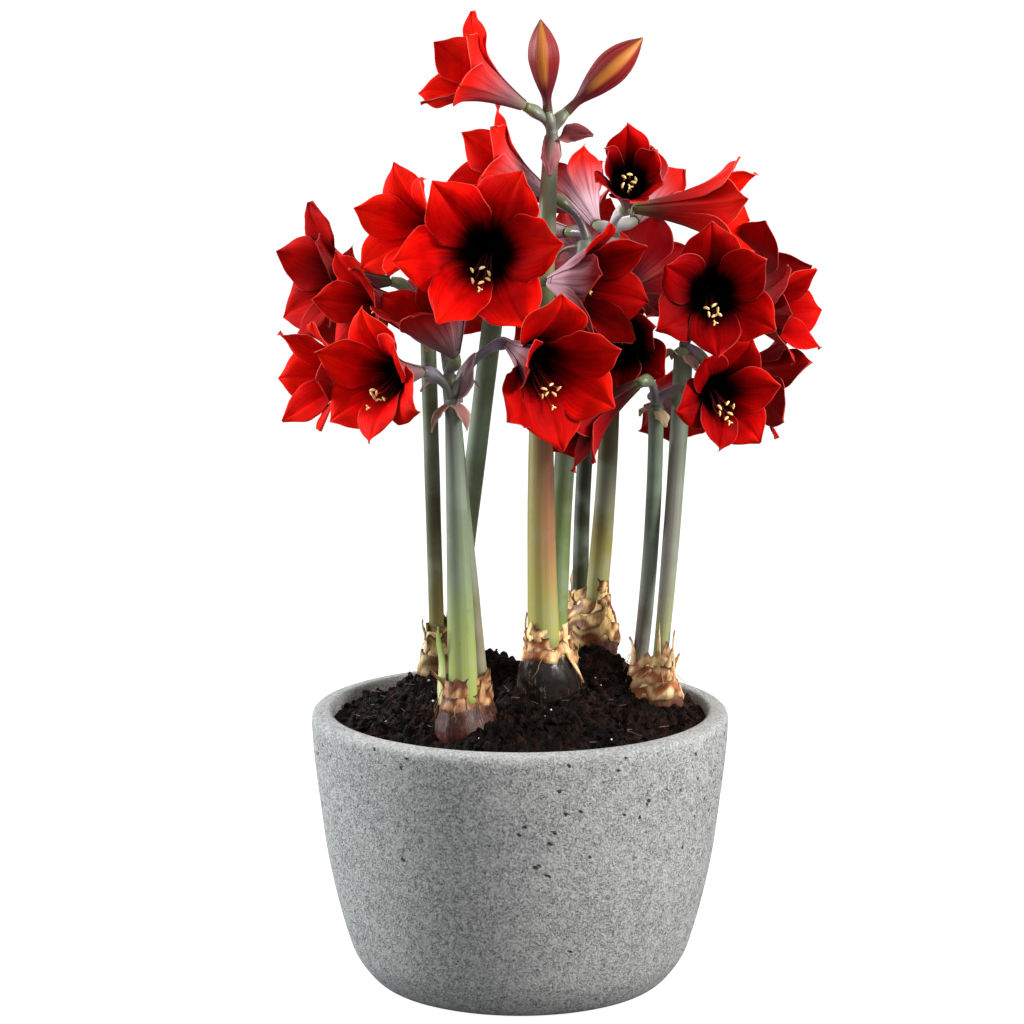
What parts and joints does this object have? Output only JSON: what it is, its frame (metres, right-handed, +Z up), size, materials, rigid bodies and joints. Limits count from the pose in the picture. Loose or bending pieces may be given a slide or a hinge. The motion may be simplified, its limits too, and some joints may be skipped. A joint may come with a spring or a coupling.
{
  "type": "potted flowering plant",
  "caption": "Red amaryllis with scapes and trumpet blooms growing from bulbs in soil, in a round tapered concrete pot.",
  "frame": {"origin": "centre of the pot's flat foot, on the surface that it stands on", "axes": "+Z up through the middle of the pot; -Y towards the side that the picture was taken from; +X to the right as seen from there"},
  "size_m": [0.4691, 0.4315, 0.8386],
  "materials": {
    "pot": "matt cast concrete look with fine grain and small pits",
    "soil": "matt crumbly potting soil",
    "bulb": "dry papery scales",
    "scape": "waxy plant stem",
    "bloom": "satin petals",
    "bud": "satin closed petals",
    "stamen": "matt pollen",
    "leaf": "young waxy leaf"
  },
  "bodies": {
    "root": {"pot": "pot", "soil": "soil", "bulb_1": "bulb", "bulb_2": "bulb", "bulb_3": "bulb", "bulb_4": "bulb", "bulb_5": "bulb", "scape_C": "scape", "scape_X": "scape", "scape_D": "scape", "scape_B": "scape", "scape_A": "scape", "scape_F": "scape", "scape_G": "scape", "scape_H": "scape", "scape_I": "scape", "scape_J": "scape", "young_leaf": "leaf", "bloom_A1": "bloom", "bloom_B1": "bloom", "bloom_B2": "bloom", "bloom_B3": "bloom", "bloom_B4": "bloom", "bloom_C1": "bloom", "bloom_C2": "bloom", "bloom_C3": "bloom", "bloom_X1": "bloom", "bloom_X2": "bloom", "bloom_D1": "bloom", "bloom_D2": "bloom", "bloom_D3": "bloom", "bloom_F1": "bloom", "bloom_F2": "bloom", "bloom_F3": "bloom", "bloom_G1": "bloom", "bloom_G2": "bloom", "bloom_G3": "bloom", "bloom_H1": "bloom", "bloom_H2": "bloom", "bloom_H3": "bloom", "bloom_H4": "bloom", "bloom_I1": "bloom", "bloom_I2": "bloom", "bloom_I3": "bloom", "bloom_J1": "bloom", "bloom_J2": "bloom", "bloom_J3": "bloom", "bloom_J4": "bloom", "bloom_A2": "bud", "bloom_A3": "bud", "stamens_B1": "stamen", "stamens_C1": "stamen", "stamens_C2": "stamen", "stamens_H1": "stamen", "stamens_J1": "stamen", "stamens_I3": "stamen"}
  },
  "joints": []
}
